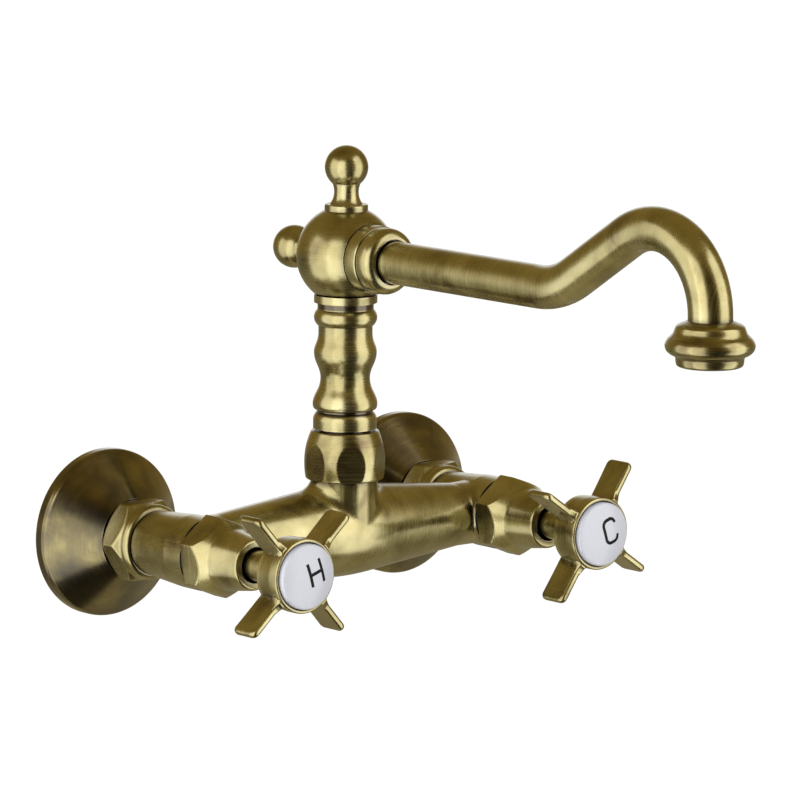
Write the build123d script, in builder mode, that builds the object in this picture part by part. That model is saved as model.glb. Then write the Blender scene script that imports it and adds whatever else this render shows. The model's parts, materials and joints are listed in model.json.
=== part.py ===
from build123d import *

import os
from math import cos, radians, sin, sqrt

# Wall-mounted two-handle mixer faucet in millimetres, Z up.
# The origin lies on the wall, midway between the two supply tails.
# X runs to the cold side and Y into the wall, so a reach is measured along -Y.

# Fits
seat_gap = 0.1  # radial room of a fixed seat, or of a thread drawn plain
running_gap = 0.08  # radial room of a turning fit
face_gap = 0.3  # room between faces that slide past each other
disc_gap = 0.05  # film between the two ceramic discs

# Supply side
inlet_spacing = 150.0
union_offset = 8.0  # how far the eccentric union lifts the valve above its tail
tail_radius = 10.48  # half-inch pipe thread
tail_length = 20.0
tail_bore = 7.0
spigot_radius = 13.22  # three-quarter-inch pipe thread
spigot_bore = 9.0
throw_length = 7.0  # length of the slanted part of the union
flange_radius = 33.0
flange_rim = 4.6
flange_rim_round = 2.6
flange_depth = 19.5
flange_top_radius = 15.4
flange_wall = 1.8
flange_thread = 5.0
nut_across = 30.0
nut_length = 14.0
nut_hex = 9.8
nut_chamfer = 2.0
nut_collar_radius = 14.8
nut_collar_round = 2.4
nut_lip = 3.2
nut_stand_off = 0.5
nut_turn = 1.0  # clocking of the tightened union nuts, degrees
washer_thickness = 2.0
washer_bore = 8.2
nipple_collar = 2.5
nipple_collar_radius = 12.8
nipple_bore = 7.5
nipple_neck = 11.3
nipple_shank = 10.2
nipple_shank_length = 8.0

# Body casting
arm_gap = 0.4
arm_radius_back = 12.7
arm_radius_front = 14.3
arm_taper = 22.0
arm_length = 32.0
bar_set_back = 18.6  # from the back of an arm to the axis of the crossbar
bar_drop = 0.5  # the crossbar hangs a little below the valve axis
bar_radius = 18.2
bar_neck = 12.7
bar_flat = 12.0  # half length of the crowned middle
bar_neck_length = 15.0  # plain neck beside each valve, from the valve axis
bar_crown = 0.6
boss_forward = 4.8  # the outlet boss stands forward of the crossbar's axis
boss_radius = 13.0
boss_height = 20.6
stub_radius = 11.5
stub_height = 10.4
boss_fillet = 7.0
arm_fillet = 1.5
passage_radius = 4.0
passage_margin = 1.5  # from the valve seat to the side of the cross passage
outlet_bore = 6.0
seat_bore = 5.5

# Ceramic headworks
gasket_thickness = 1.0
gasket_radius = 13.8
bonnet_across = 28.4
bonnet_hex = 11.5
bonnet_chamfer = 4.4
bonnet_turn = 38.0  # clocking of the tightened bonnets, degrees
nose_root = 11.9  # where the tapered nose leaves the chamfer of the hexagon
nose_root_set_off = 2.6
nose_radius = 9.9
nose_length = 16.5
nose_fillet = 5.0
nose_round = 1.2
nose_bore = 8.3
nose_bore_depth = 13.5
bonnet_shank = 11.0
bonnet_shank_length = 14.0
bonnet_skirt = 9.7
bonnet_skirt_length = 8.0
bonnet_cavity = 8.5
window_width = 5.0
disc_radius = 8.2
disc_thickness = 3.2
disc_set_in = 2.0  # how far the disc pair sits inside the skirt
port_radius = 2.1
port_offset = 4.3
seal_thickness = 2.6
seal_bore = 5.6
spindle_foot = 2.8
spindle_journal = 4.7
spindle_stem = 3.9
spindle_flat = 0.7  # depth of each of the two driving flats
dog_width = 3.0
dog_height = 1.4
spindle_ring_section = 1.5
spindle_ring_set_back = 9.0  # from the recess floor to the middle of the ring
clip_thickness = 0.9
clip_radius = 6.2
clip_grip = 0.6  # how deep the clip sits in the stem
clip_opening = 4.0

# Cross handles
handle_stand_off = 29.6  # from the nose of a bonnet to the front of the index ring
hub_radius = 14.0
hub_length = 13.6
hub_round = 3.2
neck_radius = 6.0
neck_set_off = 6.5  # from the floor of the bonnet's recess to the end of the neck
neck_fillet = 2.0
cross_radius = 31.5
cross_blades = 4
blade_thickness = 3.0
blade_root_width = 9.6
blade_tip_width = 13.0
blade_set_back = 1.5
blade_tip_round = 2.4
blade_edge_round = 1.2
hot_turn = 42.0  # where the first blade of each cross happens to stand, degrees
cold_turn = 55.6  # degrees
index_ring_radius = 14.4
index_ring_wall = 0.8
index_ring_length = 4.2
index_ring_lip = 0.3
index_ring_lip_depth = 0.5
index_ring_round = 0.5
button_flange = 1.2
button_rise = 2.0  # straight side that stands in front of the ring
button_dome = 2.2
button_plug = 3.0
button_plug_radius = 10.2
screw_head_radius = 4.4
screw_head_height = 2.8
screw_radius = 2.0
screw_length = 13.0
screw_web = 3.0
screw_room = 1.95  # between the screw's head and the button's plug
screw_key = 2.5
screw_key_depth = 2.0

# Swivel nut and spout column, heights above the valve axis
swivel_nut_gap = 0.4
swivel_nut_height = 19.3
swivel_nut_foot = 15.3
swivel_nut_foot_round = 0.8
swivel_nut_bulge = 15.9
swivel_nut_bulge_height = 6.5
swivel_nut_top = 13.2
swivel_nut_across = 29.7
swivel_nut_turn = 30.0  # degrees
swivel_lip = 4.3
slip_thickness = 1.5
slip_radius = 11.0
snap_thickness = 1.9
snap_radius = 11.0
snap_depth = 1.1
snap_opening = 4.0
column_neck = 10.0
column_spigot = 8.3
column_spigot_depth = 9.0  # below the shoulder of the boss
column_bore = 5.0
column_ring_section = 1.4
column_ring_spacing = 6.0
column_gap = 0.8
column_height = 52.7  # turned column, from its foot to the ball
column_foot = 12.5
column_foot_height = 3.4
column_groove = 11.0
column_groove_height = 6.6
column_groove_width = 0.6
column_lip = 12.2  # the undercut edge of the flare
column_lip_height = 7.7
column_flare = 12.7
column_flare_height = 9.3
column_waist = 9.7
column_waist_height = 19.7
column_belly = 12.3
column_belly_height = 30.0
column_throat = 10.6
column_throat_height = 37.4
column_bead = 12.4
column_bead_height = 43.9
column_bead_half = 3.2
column_collar = 12.4
column_collar_height = 3.0
tenon_radius = 8.0
tenon_length = 6.0

# Spout head, finials and collar
ball_radius = 19.5
ball_sink = 3.9  # how far the ball is cut flat to sit on the column
head_bore = 5.4
finial_base = 8.5
finial_base_height = 2.5
finial_base_round = 0.6
finial_shoulder = 6.6
finial_neck = 4.8
finial_neck_height = 7.2
finial_throat = 5.5  # where the neck runs into the ball
finial_ball = 8.5
finial_height = 25.5
rear_finial_shortening = 2.9  # the rear finial has a shorter neck
stud_radius = 2.9
stud_length = 6.0
collar_flange = 13.3
collar_flange_length = 6.6
collar_flange_round = 0.7
collar_groove = 12.5
collar_groove_length = 0.7
collar_radius = 12.9
collar_length = 14.5
collar_land = 2.0  # cylindrical stretch before the collar rounds in
collar_nose = 10.0
collar_tenon = 10.4
collar_tenon_length = 4.5
collar_mouth = 9.4
collar_mouth_depth = 2.0

# Spout tube and aerator
tube_radius = 8.35
tube_wall = 1.2
tube_straight = 113.6  # from the column axis to the first bend
tube_rise_radius = 39.0
tube_rise_angle = 32.3
tube_slope = 33.8
tube_crest_radius = 29.5
tube_insert = 5.0  # how far the tube goes into the aerator
tube_overhang = 1.3  # straight end of the tube that shows above the aerator
aerator_height = 17.0
aerator_top = 9.7
aerator_cap = 12.5
aerator_cap_height = 1.6
aerator_shoulder = 13.2
aerator_shoulder_height = 2.9
aerator_flare = 14.9
aerator_flare_height = 5.3
aerator_bulge = 16.6
aerator_bulge_height = 9.1
aerator_waist = 13.0
aerator_waist_height = 14.0
aerator_ledge = 0.5
aerator_mouth = 10.8
aerator_mouth_round = 1.6
aerator_bore = 6.8
insert_radius = 8.9
insert_height = 5.0
insert_set_in = 0.8
jet_radius = 0.8
jet_spacing = 2.7
jet_rings = 2
jets_in_first_ring = 6
aerator_washer = 1.2

# Places worked out from the sizes above
valve_x = inlet_spacing / 2
valve_z = union_offset
nut_back = flange_depth + nut_stand_off
nut_front = nut_back + nut_length
collar_front = nut_front - nut_lip - seat_gap
collar_back = collar_front - nipple_collar
spigot_end = collar_back - washer_thickness
arm_back = nut_front + arm_gap
arm_front = arm_back + arm_length
bar_reach = arm_back + bar_set_back
column_reach = bar_reach + boss_forward
bonnet_back = arm_front + gasket_thickness
shank_end = bonnet_back - bonnet_shank_length
hex_front = bonnet_back + bonnet_hex
nose_front = hex_front + nose_length
recess_floor = nose_front - nose_bore_depth
fixed_front = shank_end + disc_set_in
fixed_back = fixed_front - disc_thickness
seal_back = fixed_back - seal_thickness
moving_back = fixed_front + disc_gap
moving_front = moving_back + disc_thickness
foot_back = moving_front + disc_gap
foot_front = foot_back + spindle_foot
handle_reach = nose_front + handle_stand_off
hub_back = handle_reach - hub_length
neck_back = recess_floor + neck_set_off
ring_back = handle_reach - index_ring_length
ring_bore = index_ring_radius - index_ring_wall
button_front = handle_reach - index_ring_lip_depth - disc_gap
button_back = button_front - button_flange
hub_front = button_back - disc_gap
web_front = button_back - button_plug - screw_room - screw_head_height
stem_front = web_front - screw_web - seat_gap
stub_top = boss_height + stub_height
nut_foot = boss_height + swivel_nut_gap
nut_crown = nut_foot + swivel_nut_height
lip_floor = nut_crown - swivel_lip
slip_top = stub_top + slip_thickness
step_height = slip_top + face_gap
foot_height = nut_crown + column_gap
snap_top = lip_floor - face_gap
snap_floor = snap_top - snap_thickness
spigot_floor = boss_height - column_spigot_depth
column_top = foot_height + column_height
ball_height = column_top + ball_radius - ball_sink
finial_seat = sqrt(ball_radius**2 - finial_base**2)
collar_seat = sqrt(ball_radius**2 - collar_flange**2)
tube_start = collar_seat - collar_tenon_length
rise = radians(tube_rise_angle)
spout_reach = (
    tube_straight
    + (tube_rise_radius + tube_crest_radius) * sin(rise)
    + tube_slope * cos(rise)
    + tube_crest_radius
)
spout_drop = (
    tube_rise_radius * (1 - cos(rise)) + tube_slope * sin(rise) - tube_crest_radius * cos(rise)
)
sides = (("hot", -1), ("cold", 1))
turns = {"hot": hot_turn, "cold": cold_turn}


def valve_section(sign):
    # half section through a valve: local x is the radius, local y the reach from the wall
    return Plane(origin=(sign * valve_x, 0, valve_z), x_dir=(1, 0, 0), z_dir=(0, 0, -1))


def valve_face(sign, reach, turn=0.0):
    # a plane across a valve's axis, seen from the front
    clock = radians(turn)
    across = (cos(clock), 0, sin(clock))
    return Plane(origin=(sign * valve_x, -reach, valve_z), x_dir=across, z_dir=(0, -1, 0))


def column_face(height):
    return Plane(origin=(0, -column_reach, valve_z + height))


# half sections: local x is the radius, local y runs along the axis of the piece
column_section = Plane(origin=(0, -column_reach, valve_z), x_dir=(1, 0, 0), z_dir=(0, -1, 0))
bar_section = Plane(origin=(0, -bar_reach, valve_z - bar_drop), x_dir=(0, 0, 1), z_dir=(0, 1, 0))
ball_centre = (0, -column_reach, valve_z + ball_height)
spout_section = Plane(origin=ball_centre, x_dir=(1, 0, 0), z_dir=(0, 0, -1))
rear_section = Plane(origin=ball_centre, x_dir=(1, 0, 0), z_dir=(0, 0, 1))
top_section = Plane(origin=ball_centre, x_dir=(1, 0, 0), z_dir=(0, -1, 0))
spout_plane = Plane(origin=ball_centre, x_dir=(0, -1, 0), z_dir=(-1, 0, 0))
mouth_height = ball_height + spout_drop - tube_overhang
mouth_centre = (0, -column_reach - spout_reach, valve_z + mouth_height)
mouth_section = Plane(origin=mouth_centre, x_dir=(1, 0, 0), z_dir=(0, -1, 0))


def axis_of(section):
    return Axis(section.origin, section.y_dir)


def outline(plane, *points, rounds=()):
    with BuildSketch(plane) as flat:
        with BuildLine():
            Polyline(*points, close=True)
        make_face()
        for corner, radius in rounds:
            fillet(flat.vertices().sort_by_distance(corner)[0], radius)
    return flat.sketch


def turned(section, *points, rounds=(), mode=Mode.ADD):
    # a body of revolution about the section's own y axis
    revolve(outline(section, *points, rounds=rounds), axis=axis_of(section), mode=mode)


def sleeve(section, inner, outer, start, end, mode=Mode.ADD):
    turned(section, (inner, start), (outer, start), (outer, end), (inner, end), mode=mode)


def rubber_ring(section, inner, thickness, middle):
    with BuildSketch(section) as round_cut:
        with Locations((inner + thickness / 2, middle)):
            Circle(thickness / 2)
    revolve(round_cut.sketch, axis=axis_of(section))


def hexagon(plane, across):
    with BuildSketch(plane) as six:
        RegularPolygon(across / 2, 6, major_radius=False)
    return six.sketch


def corner_radius(across):
    return across / 2 / cos(radians(30))


os.makedirs("parts", exist_ok=True)


def keep(piece, name):
    piece.part.label = name
    export_step(piece.part, f"parts/{name}.step")


# Wall flanges, eccentric unions, union nuts, nipples and washers
for name, sign in sides:
    section = valve_section(sign)

    with BuildPart() as wall_flange:
        rim = (flange_radius, flange_rim)
        turned(
            section,
            (flange_radius - flange_wall, 0),
            (flange_radius, 0),
            rim,
            (flange_top_radius, flange_depth),
            (spigot_radius + seat_gap, flange_depth),
            (spigot_radius + seat_gap, flange_depth - flange_thread),
            (flange_radius - flange_wall, flange_rim - flange_wall / 2),
            rounds=((rim, flange_rim_round),),
        )
    keep(wall_flange, f"wall_flange_{name}")

    with BuildPart() as wall_union:
        tail_face = Plane(origin=(sign * valve_x, 0, 0), x_dir=(1, 0, 0), z_dir=(0, -1, 0))
        throw_face = valve_face(sign, throw_length)
        for tail, spigot, mode in (
            (tail_radius, spigot_radius, Mode.ADD),
            (tail_bore, spigot_bore, Mode.SUBTRACT),
        ):
            with BuildSketch(tail_face) as pipe_end:
                Circle(tail)
            with BuildSketch(throw_face) as valve_end:
                Circle(spigot)
            extrude(pipe_end.sketch, amount=-tail_length, mode=mode)
            loft([pipe_end.sketch, valve_end.sketch], mode=mode)
            extrude(valve_end.sketch, amount=spigot_end - throw_length, mode=mode)
    keep(wall_union, f"wall_union_{name}")

    with BuildPart() as union_nut:
        crest = corner_radius(nut_across)
        hex_end = nut_back + nut_hex
        turned(
            section,
            (spigot_radius + seat_gap, nut_back),
            (nut_across / 2, nut_back),
            (crest, nut_back + nut_chamfer),
            (crest, hex_end - nut_chamfer),
            (nut_across / 2, hex_end),
            (nut_collar_radius, hex_end),
            (nut_collar_radius, nut_front),
            (nipple_neck + face_gap, nut_front),
            (nipple_neck + face_gap, nut_front - nut_lip),
            (spigot_radius + seat_gap, nut_front - nut_lip),
            rounds=(((nut_collar_radius, nut_front), nut_collar_round),),
        )
        extrude(
            hexagon(valve_face(sign, nut_back, nut_turn), nut_across),
            amount=nut_length,
            mode=Mode.INTERSECT,
        )
    keep(union_nut, f"union_nut_{name}")

    with BuildPart() as inlet_nipple:
        turned(
            section,
            (nipple_bore, collar_back),
            (nipple_collar_radius, collar_back),
            (nipple_collar_radius, collar_front),
            (nipple_neck, collar_front),
            (nipple_neck, arm_back),
            (nipple_shank, arm_back),
            (nipple_shank, arm_back + nipple_shank_length),
            (nipple_bore, arm_back + nipple_shank_length),
        )
    keep(inlet_nipple, f"inlet_nipple_{name}")

    with BuildPart() as union_washer:
        sleeve(section, washer_bore, nipple_collar_radius, spigot_end, collar_back)
    keep(union_washer, f"union_washer_{name}")

# Body casting: a crowned crossbar, two valve arms and the outlet boss
with BuildPart() as mixer_body:
    shoulder = bar_radius - bar_crown
    with BuildSketch(bar_section):
        with BuildLine():
            ThreePointArc((shoulder, -bar_flat), (bar_radius, 0), (shoulder, bar_flat))
            for end in (1, -1):
                Polyline(
                    (shoulder, end * bar_flat),
                    (bar_neck, end * (valve_x - bar_neck_length)),
                    (bar_neck, end * valve_x),
                    (0, end * valve_x),
                )
            Line((0, -valve_x), (0, valve_x))
        make_face()
    revolve(axis=axis_of(bar_section))
    with BuildSketch(column_face(0)):
        Circle(boss_radius)
    extrude(amount=boss_height + boss_fillet)
    fillet(mixer_body.edges(Select.NEW), boss_fillet)
    # the blend is cut level where the swivel nut stands
    with BuildSketch(column_face(boss_height)):
        Circle(boss_radius + boss_fillet)
    extrude(amount=2 * boss_fillet, mode=Mode.SUBTRACT)
    for sign in (-1, 1):
        turned(
            valve_section(sign),
            (0, arm_back),
            (arm_radius_back, arm_back),
            (arm_radius_front, arm_back + arm_taper),
            (arm_radius_front, arm_front),
            (0, arm_front),
        )
        fillet(mixer_body.edges(Select.NEW), arm_fillet)
    with BuildSketch(column_face(boss_height)):
        Circle(stub_radius)
    extrude(amount=stub_height)
    # waterways: supply sockets, valve chambers, the cross passage and the outlet
    for sign in (-1, 1):
        socket_end = arm_back + nipple_shank_length + face_gap
        turned(
            valve_section(sign),
            (0, arm_back),
            (nipple_shank + seat_gap, arm_back),
            (nipple_shank + seat_gap, socket_end),
            (seat_bore, socket_end),
            (seat_bore, seal_back),
            (bonnet_shank + seat_gap, seal_back),
            (bonnet_shank + seat_gap, arm_front),
            (0, arm_front),
            mode=Mode.SUBTRACT,
        )
        # the front of each arm is faced off square, clear of the bonnet
        bonnet_room = corner_radius(bonnet_across) + face_gap
        sleeve(valve_section(sign), 0, bonnet_room, arm_front, nose_front, mode=Mode.SUBTRACT)
    passage_reach = seal_back + passage_margin + passage_radius
    with BuildSketch(Plane(origin=(0, -passage_reach, valve_z), x_dir=(0, 1, 0), z_dir=(1, 0, 0))):
        Circle(passage_radius)
    extrude(amount=valve_x - bonnet_shank / 2, both=True, mode=Mode.SUBTRACT)
    turned(
        column_section,
        (0, 0),
        (outlet_bore, 0),
        (outlet_bore, spigot_floor),
        (column_spigot + running_gap, spigot_floor),
        (column_spigot + running_gap, stub_top),
        (0, stub_top),
        mode=Mode.SUBTRACT,
    )
keep(mixer_body, "mixer_body")

# Ceramic headworks, one behind each handle
for name, sign in sides:
    section = valve_section(sign)

    with BuildPart() as bonnet_gasket:
        sleeve(section, bonnet_shank + seat_gap, gasket_radius, arm_front, bonnet_back)
    keep(bonnet_gasket, f"bonnet_gasket_{name}")

    with BuildPart() as valve_bonnet:
        crest = corner_radius(bonnet_across)
        inner_corner = (nose_root, hex_front + nose_root_set_off)
        outer_corner = (nose_radius, nose_front)
        turned(
            section,
            (0, shank_end),
            (bonnet_skirt, shank_end),
            (bonnet_skirt, shank_end + bonnet_skirt_length),
            (bonnet_shank, shank_end + bonnet_skirt_length),
            (bonnet_shank, bonnet_back),
            (crest, bonnet_back),
            (crest, hex_front - bonnet_chamfer),
            inner_corner,
            outer_corner,
            (0, nose_front),
            rounds=((inner_corner, nose_fillet), (outer_corner, nose_round)),
        )
        turned(
            section,
            (0, shank_end),
            (bonnet_cavity, shank_end),
            (bonnet_cavity, foot_front + face_gap),
            (spindle_journal + running_gap, foot_front + face_gap),
            (spindle_journal + running_gap, recess_floor),
            (nose_bore, recess_floor),
            (nose_bore, nose_front),
            (0, nose_front),
            mode=Mode.SUBTRACT,
        )
        extrude(
            hexagon(valve_face(sign, shank_end, bonnet_turn), bonnet_across),
            amount=nose_front - shank_end,
            mode=Mode.INTERSECT,
        )
        # two windows in the skirt let the water out towards the cross passage
        with BuildSketch(valve_face(sign, moving_back)):
            Rectangle(2 * bonnet_shank, window_width)
        extrude(amount=disc_thickness, mode=Mode.SUBTRACT)
    keep(valve_bonnet, f"valve_bonnet_{name}")

    with BuildPart() as seat_seal:
        sleeve(section, seal_bore, disc_radius, seal_back, fixed_back)
    keep(seat_seal, f"seat_seal_{name}")

    with BuildPart() as fixed_disc:
        with BuildSketch(valve_face(sign, fixed_back)):
            Circle(disc_radius)
            with Locations((-port_offset, 0), (port_offset, 0)):
                Circle(port_radius, mode=Mode.SUBTRACT)
        extrude(amount=disc_thickness)
    keep(fixed_disc, f"fixed_disc_{name}")

    with BuildPart() as moving_disc:
        with BuildSketch(valve_face(sign, moving_back)):
            Circle(disc_radius)
            with Locations((0, -port_offset), (0, port_offset)):
                Circle(port_radius, mode=Mode.SUBTRACT)
        extrude(amount=disc_thickness)
        with BuildSketch(valve_face(sign, moving_front)):
            Rectangle(2 * disc_radius, dog_width + 2 * seat_gap)
        extrude(amount=-dog_height - seat_gap, mode=Mode.SUBTRACT)
    keep(moving_disc, f"moving_disc_{name}")

    with BuildPart() as valve_spindle:
        ring_middle = recess_floor - spindle_ring_set_back
        ring_groove = spindle_journal - spindle_ring_section
        clip_back = recess_floor + face_gap
        clip_groove = spindle_stem - clip_grip
        turned(
            section,
            (0, foot_back),
            (disc_radius, foot_back),
            (disc_radius, foot_front),
            (spindle_journal, foot_front),
            (spindle_journal, ring_middle - spindle_ring_section / 2 - seat_gap),
            (ring_groove, ring_middle - spindle_ring_section / 2 - seat_gap),
            (ring_groove, ring_middle + spindle_ring_section / 2 + seat_gap),
            (spindle_journal, ring_middle + spindle_ring_section / 2 + seat_gap),
            (spindle_journal, clip_back - seat_gap),
            (clip_groove, clip_back - seat_gap),
            (clip_groove, clip_back + clip_thickness + seat_gap),
            (spindle_stem, clip_back + clip_thickness + seat_gap),
            (spindle_stem, stem_front),
            (0, stem_front),
        )
        with BuildSketch(valve_face(sign, foot_back)):
            Rectangle(2 * disc_radius - dog_width, dog_width)
        extrude(amount=-dog_height)
        flat_middle = spindle_stem - spindle_flat / 2
        with BuildSketch(valve_face(sign, neck_back, turns[name])):
            with Locations((0, -flat_middle), (0, flat_middle)):
                Rectangle(2 * spindle_stem, spindle_flat)
        extrude(amount=stem_front - neck_back, mode=Mode.SUBTRACT)
        screw_end = web_front - screw_length
        sleeve(section, 0, screw_radius + seat_gap, screw_end, stem_front, mode=Mode.SUBTRACT)
    keep(valve_spindle, f"valve_spindle_{name}")

    with BuildPart() as spindle_ring:
        rubber_ring(section, ring_groove, spindle_ring_section, ring_middle)
    keep(spindle_ring, f"spindle_ring_{name}")

    with BuildPart() as spindle_clip:
        clip_end = clip_back + clip_thickness
        sleeve(section, clip_groove + seat_gap, clip_radius, clip_back, clip_end)
        with BuildSketch(valve_face(sign, clip_back)):
            with Locations((0, -clip_radius)):
                Rectangle(clip_opening, 2 * clip_radius)
        extrude(amount=clip_thickness, mode=Mode.SUBTRACT)
    keep(spindle_clip, f"spindle_clip_{name}")

# Cross handles with their index rings, buttons and screws
for name, sign in sides:
    section = valve_section(sign)
    plug_recess = button_plug_radius + seat_gap
    root = plug_recess + seat_gap
    blade_front = handle_reach - blade_set_back
    blade_back = blade_front - blade_tip_width
    ring_clear = index_ring_radius + face_gap
    step_back = ring_back - face_gap
    root_back = step_back - blade_root_width

    with BuildPart() as blade:
        with BuildSketch(section):
            with BuildLine():
                Polyline(
                    (cross_radius, blade_back),
                    (cross_radius, blade_front),
                    (ring_clear, blade_front),
                    (ring_clear, step_back),
                    (root, step_back),
                    (root, root_back),
                )
                TangentArc((root, root_back), (cross_radius, blade_back), tangent=(1, 0))
            make_face()
        extrude(amount=blade_thickness / 2, both=True)
        tip = blade.edges().filter_by(Axis.Z).group_by(Axis.X)[-1]
        fillet(tip, blade_tip_round)
        long_edges = blade.edges().filter_by(Axis.Z, reverse=True)
        outer_edges = long_edges.filter_by(lambda edge: edge.center().X - sign * valve_x > ring_clear)
        fillet(outer_edges, blade_edge_round)

    with BuildPart() as cross_handle:
        turned(
            section,
            (0, neck_back),
            (neck_radius, neck_back),
            (neck_radius, hub_back),
            (hub_radius, hub_back),
            (hub_radius, step_back),
            (ring_bore - seat_gap, step_back),
            (ring_bore - seat_gap, hub_front),
            (0, hub_front),
            rounds=(((hub_radius, hub_back), hub_round), ((neck_radius, hub_back), neck_fillet)),
        )
        for number in range(cross_blades):
            clock = turns[name] + number * 360 / cross_blades
            add(blade.part.rotate(axis_of(section), clock))
        turned(
            section,
            (0, stem_front),
            (screw_radius + seat_gap, stem_front),
            (screw_radius + seat_gap, web_front),
            (plug_recess, web_front),
            (plug_recess, hub_front),
            (0, hub_front),
            mode=Mode.SUBTRACT,
        )
        with BuildSketch(valve_face(sign, neck_back, turns[name])):
            Circle(spindle_stem + seat_gap)
            across_flats = 2 * (spindle_stem - spindle_flat + seat_gap)
            Rectangle(2 * neck_radius, across_flats, mode=Mode.INTERSECT)
        extrude(amount=stem_front + seat_gap - neck_back, mode=Mode.SUBTRACT)
    keep(cross_handle, f"cross_handle_{name}")

    with BuildPart() as index_ring:
        lip_bore = ring_bore - index_ring_lip
        turned(
            section,
            (ring_bore, ring_back),
            (index_ring_radius, ring_back),
            (index_ring_radius, handle_reach),
            (lip_bore, handle_reach),
            (lip_bore, handle_reach - index_ring_lip_depth),
            (ring_bore, handle_reach - index_ring_lip_depth),
            rounds=(((index_ring_radius, handle_reach), index_ring_round),),
        )
    keep(index_ring, f"index_ring_{name}")

    with BuildPart() as index_button:
        dome_radius = lip_bore - seat_gap
        dome_foot = handle_reach + button_rise
        with BuildSketch(section):
            with BuildLine():
                Polyline(
                    (0, dome_foot + button_dome),
                    (0, button_back - button_plug),
                    (button_plug_radius, button_back - button_plug),
                    (button_plug_radius, button_back),
                    (ring_bore - seat_gap, button_back),
                    (ring_bore - seat_gap, button_front),
                    (dome_radius, button_front),
                    (dome_radius, dome_foot),
                )
                TangentArc((0, dome_foot + button_dome), (dome_radius, dome_foot), tangent=(1, 0))
            make_face()
        revolve(axis=axis_of(section))
    keep(index_button, f"index_button_{name}")

    with BuildPart() as handle_screw:
        sleeve(section, 0, screw_head_radius, web_front, web_front + screw_head_height)
        sleeve(section, 0, screw_radius, web_front - screw_length, web_front)
        extrude(
            hexagon(valve_face(sign, web_front + screw_head_height), screw_key),
            amount=-screw_key_depth,
            mode=Mode.SUBTRACT,
        )
    keep(handle_screw, f"handle_screw_{name}")

# Swivel joint under the column
with BuildPart() as swivel_nut:
    with BuildSketch(column_section) as nut_cut:
        with BuildLine():
            bulge = (swivel_nut_bulge, nut_foot + swivel_nut_bulge_height)
            TangentArc(bulge, (swivel_nut_foot, nut_foot), tangent=(0, -1))
            TangentArc(bulge, (swivel_nut_top, nut_crown), tangent=(0, 1))
            Polyline(
                (swivel_nut_top, nut_crown),
                (column_neck + running_gap, nut_crown),
                (column_neck + running_gap, lip_floor),
                (stub_radius + seat_gap, lip_floor),
                (stub_radius + seat_gap, nut_foot),
                (swivel_nut_foot, nut_foot),
            )
        make_face()
        fillet(nut_cut.vertices().sort_by_distance((swivel_nut_foot, nut_foot))[0], swivel_nut_foot_round)
    revolve(axis=axis_of(column_section))
    extrude(
        hexagon(column_face(nut_foot).rotated((0, 0, swivel_nut_turn)), swivel_nut_across),
        amount=swivel_nut_height,
        mode=Mode.INTERSECT,
    )
keep(swivel_nut, "swivel_nut")

with BuildPart() as slip_washer:
    sleeve(column_section, column_spigot + seat_gap, slip_radius, stub_top, slip_top)
keep(slip_washer, "slip_washer")

with BuildPart() as snap_ring:
    snap_bore = column_neck - snap_depth + seat_gap
    sleeve(column_section, snap_bore, snap_radius, snap_floor, snap_top)
    with BuildSketch(column_face(snap_floor)):
        with Locations((0, snap_radius)):
            Rectangle(snap_opening, snap_radius)
    extrude(amount=snap_thickness, mode=Mode.SUBTRACT)
keep(snap_ring, "snap_ring")

# Turned spout column with its two ring grooves and snap ring groove
with BuildPart() as spout_column:
    spigot_end_height = spigot_floor + face_gap
    bead_low = foot_height + column_bead_height - column_bead_half
    bead_high = foot_height + column_bead_height + column_bead_half
    throat = (column_throat, foot_height + column_throat_height)
    flare = (column_flare, foot_height + column_flare_height)
    belly = (column_belly, foot_height + column_belly_height)
    waist = (column_waist, foot_height + column_waist_height)
    lip = (column_lip, foot_height + column_lip_height)
    groove_low = foot_height + column_groove_height
    foot_top = (column_foot, foot_height + column_foot_height)
    collar_low = column_top - column_collar_height
    with BuildSketch(column_section):
        with BuildLine():
            Polyline(
                foot_top,
                (column_foot, foot_height),
                (column_neck, foot_height),
                (column_neck, step_height),
                (column_spigot, step_height),
                (column_spigot, spigot_end_height),
                (column_bore, spigot_end_height),
                (column_bore, column_top + tenon_length),
                (tenon_radius, column_top + tenon_length),
                (tenon_radius, column_top),
                (column_collar, column_top),
                (column_collar, collar_low),
                (column_groove, collar_low),
                (column_groove, bead_high),
            )
            ThreePointArc(
                (column_groove, bead_high),
                (column_bead, foot_height + column_bead_height),
                (column_groove, bead_low),
            )
            Polyline((column_groove, bead_low), (column_throat, bead_low), throat)
            for upper, lower in ((throat, belly), (belly, waist), (waist, flare)):
                Spline(upper, lower, tangents=((0, -1), (0, -1)))
            TangentArc(flare, lip, tangent=(0, -1))
            Polyline(
                lip,
                (column_groove, groove_low + column_groove_width),
                (column_groove, groove_low),
            )
            TangentArc(foot_top, (column_groove, groove_low), tangent=(0, 1))
        make_face()
    revolve(axis=axis_of(column_section))
    ring_heights = (
        spigot_end_height + column_ring_spacing / 2,
        spigot_end_height + column_ring_spacing * 3 / 2,
    )
    ring_floor = column_spigot - column_ring_section
    half_groove = column_ring_section / 2 + seat_gap
    for height in ring_heights:
        low, high = height - half_groove, height + half_groove
        sleeve(column_section, ring_floor, column_spigot, low, high, mode=Mode.SUBTRACT)
    snap_root = column_neck - snap_depth
    low, high = snap_floor - seat_gap, snap_top + seat_gap
    sleeve(column_section, snap_root, column_neck, low, high, mode=Mode.SUBTRACT)
keep(spout_column, "spout_column")

with BuildPart() as column_rings:
    for height in ring_heights:
        rubber_ring(column_section, ring_floor, column_ring_section, height)
keep(column_rings, "column_rings")

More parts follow.
